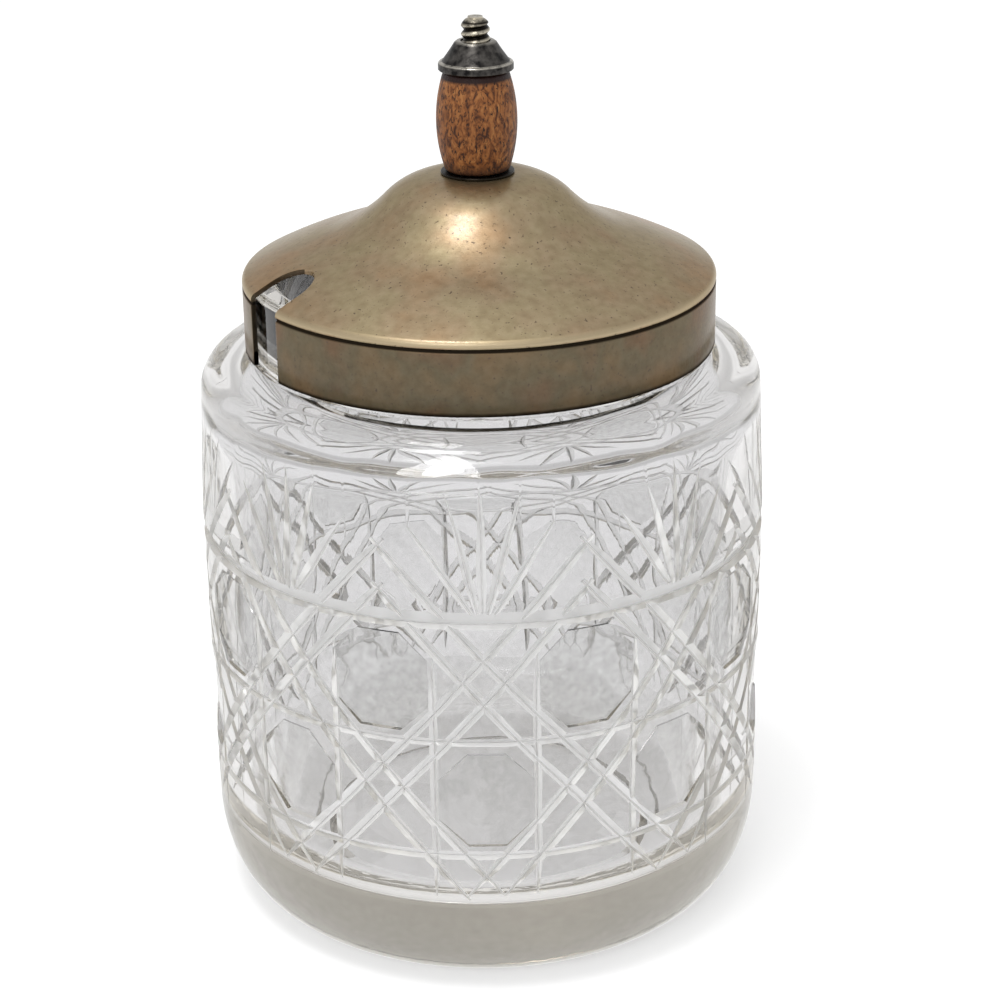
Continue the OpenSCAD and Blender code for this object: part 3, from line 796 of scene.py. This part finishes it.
# The knob
BARREL_H = 16.2
BARREL_R = 6.55
BARREL_END_R = 5.2
BARREL_BEVEL = 0.3
BARREL_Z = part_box("wood_barrel")[0][2] / MM
COLLAR_R = 6.05
COLLAR_TOP_R = 3.2
COLLAR_H = 4.6
COLLAR_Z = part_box("collar_nut")[0][2] / MM
COLLAR_EDGE_R = 0.3
FLANGE_T = 1.3
FLANGE_W = 0.55
FLANGE_ROUND = 0.4
FLANK_HOLLOW = 0.04
RECESS_R = 3.7  # the collar's underside is hollowed round the hole
RECESS_H = 0.4
SCREW_R = 2.35
THREAD_PITCH = 1.45
THREAD_DEPTH = 0.5
THREAD_WEAR = 0.03
CREST_SHARE = 0.15  # the worn round crest's share of half a turn
TIP_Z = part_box("knob_screw")[1][2] / MM
TAPER_L = 1.7
TIP_R = 1.2
HEAD_R = 4.2
HEAD_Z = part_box("knob_screw")[0][2] / MM
HEAD_H = 2.4
HEAD_BEVEL = 0.4
DRIVER_SLOT_W = 1.2
DRIVER_SLOT_H = 1.2
THREAD_Z = COLLAR_Z - 3  # the thread runs from here to the tip
THREAD_SIDES = 72
THREAD_RING = 0.06  # height between the thread's rings
WASHER_EDGE = 0.12


def wood_barrel():
    """The barrel's side is an arc through its two ends and its middle."""
    sag = BARREL_R - BARREL_END_R
    radius = ((BARREL_H / 2) ** 2 + sag ** 2) / (2 * sag)
    turn = math.degrees(math.asin((BARREL_H / 2 - BARREL_BEVEL) / radius))
    side = arc((BARREL_R - radius, BARREL_H / 2), radius, -turn, turn, 1)
    profile = [(SCREW_HOLE_R, 0), (BARREL_END_R - BARREL_BEVEL, 0)] + side
    profile += [(BARREL_END_R - BARREL_BEVEL, BARREL_H), (SCREW_HOLE_R, BARREL_H)]
    barrel = lathe("turned_barrel", [(r, z + BARREL_Z) for r, z in profile], 128)
    ease_edges(barrel, 0.12, 30)
    shade(barrel, 35)
    fit(barrel, "knob", "wood_barrel", turned_wood(BARREL_Z, BARREL_Z + BARREL_H))


def collar_nut():
    """The cone's flank is turned nearly straight, and its top edge and flange are rounded by wear."""
    flank = []
    foot, top = (COLLAR_R - FLANGE_W, FLANGE_T), (COLLAR_TOP_R, COLLAR_H)
    for i in range(1, 12):
        t = i / 12
        hollow = FLANK_HOLLOW * math.sin(math.pi * t)
        flank.append((foot[0] + (top[0] - foot[0]) * t - hollow, foot[1] + (top[1] - foot[1]) * t - hollow))
    profile = [(SCREW_HOLE_R, RECESS_H), (RECESS_R, RECESS_H), (RECESS_R + RECESS_H, 0),
               (COLLAR_R - 0.1, 0), (COLLAR_R, 0.1)]
    profile += arc((COLLAR_R - FLANGE_ROUND, FLANGE_T - FLANGE_ROUND), FLANGE_ROUND, 0, 90, 15)
    profile += [foot] + flank
    profile += arc((COLLAR_TOP_R - COLLAR_EDGE_R, COLLAR_H - COLLAR_EDGE_R), COLLAR_EDGE_R, 40, 90, 15)
    profile += [(SCREW_HOLE_R, COLLAR_H)]
    collar = lathe("collar_cone", [(r, z + COLLAR_Z) for r, z in profile], 128)
    shade(collar, 30)
    # Painted highlight, partly rubbed metal: a bright line along the flange's upper edge and a paler ring at
    # the cone's top.
    rubbed = [COLLAR_Z + up for up in (1.02, 1.2, FLANGE_T, FLANGE_T + 0.12)]
    top_edge_rub_and_highlight = (COLLAR_Z + COLLAR_H - 0.4, COLLAR_Z + COLLAR_H + 0.2)
    metal = worn_steel("blackened_turned_steel", "#201F1F", "#5A5754", 1.2, "#B9B4AA", rubbed, False,
                       top_edge_rub_and_highlight)
    fit(collar, "collar", "collar_nut", metal)


def thread_r(turn, z):
    """Radius of the coarse thread: worn round crests, V roots, and a blunt tapered end."""
    turns = (z - THREAD_Z) / THREAD_PITCH - turn / 360
    phase = abs(2 * (turns - math.floor(turns)) - 1)
    crest = SCREW_R - THREAD_WEAR
    ridge = crest - THREAD_DEPTH * max(0, (phase - CREST_SHARE) / (1 - CREST_SHARE))
    past = max(0, z - TIP_Z + TAPER_L) / TAPER_L
    taper = crest * math.sqrt(max(0, 1 - past ** 2))
    return min(ridge, max(TIP_R, taper))


def knob_screw():
    """One turned screw: a slotted head under the lid, a plain shank, and the thread at the top."""
    neck = HEAD_Z + HEAD_H
    plain = [(0, HEAD_Z), (HEAD_R - HEAD_BEVEL, HEAD_Z), (HEAD_R, HEAD_Z + HEAD_BEVEL), (HEAD_R, neck),
             (SCREW_R, neck), (SCREW_R, THREAD_Z)]
    count = round((TIP_Z - THREAD_Z) / THREAD_RING)
    threaded = [(SCREW_R, THREAD_Z + (TIP_Z - THREAD_Z) * i / count) for i in range(1, count + 1)]

    def cut_thread(turn, r, z):
        return (thread_r(turn, z), z) if z > THREAD_Z + 0.01 else (r, z)

    screw = lathe("clamp_screw", plain + threaded + [(0, TIP_Z)], THREAD_SIDES, cut_thread)
    half, past = DRIVER_SLOT_W / 2, HEAD_R + 1
    slot = prism("driver_slot", [(-past, -half), (past, -half), (past, half), (-past, half)],
                 HEAD_Z - 1, HEAD_Z + DRIVER_SLOT_H)
    cut_away(screw, [slot])
    shade(screw, 40)
    # Painted highlight, partly wear: the thread's crests and the top of the tip are painted bright.
    crests = (SCREW_R - THREAD_DEPTH * 0.6, SCREW_R - 0.08, SCREW_R + 1, SCREW_R + 2)
    tip = (TIP_Z - 0.8, TIP_Z - 0.3)
    metal = worn_steel("worn_turned_steel", "#14110F", "#2A2521", 0.6, "#BFB7A6", crests, True, tip)
    fit(screw, "screw", "knob_screw", metal)


def washer(name, body, node, material):
    """A flat ring stamped from sheet, so its edges are a little rounded."""
    low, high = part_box(node)
    r, foot, top = high[0] / MM, low[2] / MM, high[2] / MM
    profile = [(SCREW_HOLE_R, foot), (r - WASHER_EDGE, foot), (r, foot + WASHER_EDGE),
               (r, top - WASHER_EDGE), (r - WASHER_EDGE, top), (SCREW_HOLE_R, top)]
    ring = lathe(name, profile, 96)
    ease_edges(ring, 0.05, 30)
    shade(ring, 30)
    fit(ring, body, node, material)


def washers():
    """An oily dark one between the lid and the barrel, and a zinc-plated one under the lid."""
    dark = worn_steel("oil_dark_sheet_steel", "#0C0B0A", "#191613", 1.1, "#2B2722", (5.9, 6, 7, 8), True)
    grey = worn_steel("zinc_plated_sheet_steel", "#8C8C88", "#A5A5A0", 2.0, "#B5B5B0", (5.2, 5.5, 7, 8), True)
    washer("top_washer", "knob", "base_washer", dark)
    washer("bottom_washer", "lid", "under_washer", grey)


# The studio
TABLE_R = 1200
TABLE_DROP = 0.05  # the table lies this far below the jar's foot
TABLE_SIDES = 60
LOOK_AT = Vector((0, 0, 0.08))  # the lamps look at the jar's middle, in metres
LAMPS = [("overhead", -40, 74, 0.9, 0.34, 0.28, 1.7),  # azimuth, elevation, distance, width, height, watts
         ("overhead_middle", -40, 74, 0.89, 0.18, 0.14, 0.7),
         ("window", -16, 37, 1.2, 0.9, 0.42, 1.2),
         ("window_middle", -16, 37, 1.19, 0.6, 0.24, 1.1)]
BOUNCES = 24  # light turns many times inside thick cut glass


def floor():
    """A plain pale table top, round, a little below the foot. What the camera, glass and metal see of it
    is white, and it keeps the shadow."""
    edge = [point(360 / TABLE_SIDES * i, TABLE_R, -TABLE_DROP) for i in range(TABLE_SIDES)]
    table = mesh_piece("table", edge, [tuple(range(TABLE_SIDES))])
    material = bpy.data.materials.new("pale_table")
    material.use_nodes = True
    tree = material.node_tree
    tree.nodes.clear()
    path = add(tree, "LightPath").outputs
    seen_in = add(tree, "Math", [path["Is Glossy Ray"], path["Is Transmission Ray"]], operation="ADD",
                  use_clamp=True)
    white = add(tree, "Emission", {"Color": "#FFFFFF", "Strength": 1.0})
    paint = add(tree, "BsdfDiffuse", {"Color": "#E6E6E6"})
    lift = add(tree, "Math", [path["Is Camera Ray"], 0.45], operation="MULTIPLY")
    glow = add(tree, "Emission", {"Color": "#FFFFFF", "Strength": lift})
    lit = add(tree, "AddShader", [paint, glow])
    add(tree, "OutputMaterial", {"Surface": add(tree, "MixShader", [seen_in, lit, white])})
    table.data.materials.append(material)


def studio_world():
    """White all round at the level of the table, and a soft pale grey room above, which glass and metal
    show as well."""
    world = bpy.data.worlds.new("studio")
    bpy.context.scene.world = world
    world.use_nodes = True
    tree = world.node_tree
    tree.nodes.clear()
    height = add(tree, "SeparateXYZ", [add(tree, "TexCoord").outputs["Generated"]]).outputs["Z"]
    room = add(tree, "ValToRGB", [height], [(0.02, "#FFFFFF"), (0.16, "#DEDEDE"), (0.55, "#CECECE"),
                                            (0.75, "#DADADA"), (1.0, "#DCDCDC")])
    camera = add(tree, "LightPath").outputs["Is Camera Ray"]
    colour = add(tree, "Mix", {0: camera, MIX_A: room, MIX_B: "#FFFFFF"}, data_type="RGBA")
    add(tree, "OutputWorld", {"Surface": add(tree, "Background", {"Color": colour, "Strength": 1.0})})


def soft_lamp(name, azimuth, elevation, distance, width, height, watts):
    """An area lamp that looks at the jar. Azimuth 0 is on the camera's side, and 90 on its right."""
    lamp = bpy.data.lights.new(name, "AREA")
    lamp.shape = "ELLIPSE"
    lamp.size = width
    lamp.size_y = height
    lamp.energy = watts
    light = bpy.data.objects.new(name, lamp)
    a, e = math.radians(azimuth + CAMERA_AZIMUTH), math.radians(elevation)
    away = Vector((math.sin(a) * math.cos(e), -math.cos(a) * math.cos(e), math.sin(e)))
    light.location = away * distance + LOOK_AT
    light.rotation_euler = away.to_track_quat("Z", "Y").to_euler()
    bpy.context.collection.objects.link(light)


def studio():
    floor()
    studio_world()
    for lamp in LAMPS:
        soft_lamp(*lamp)
    scene = bpy.context.scene
    scene.cycles.max_bounces = BOUNCES
    scene.cycles.transmission_bounces = BOUNCES
    scene.cycles.glossy_bounces = 12
    scene.view_settings.view_transform = "Standard"


place_camera()
glass_jar()
brass_lid()
wood_barrel()
collar_nut()
knob_screw()
washers()
studio()
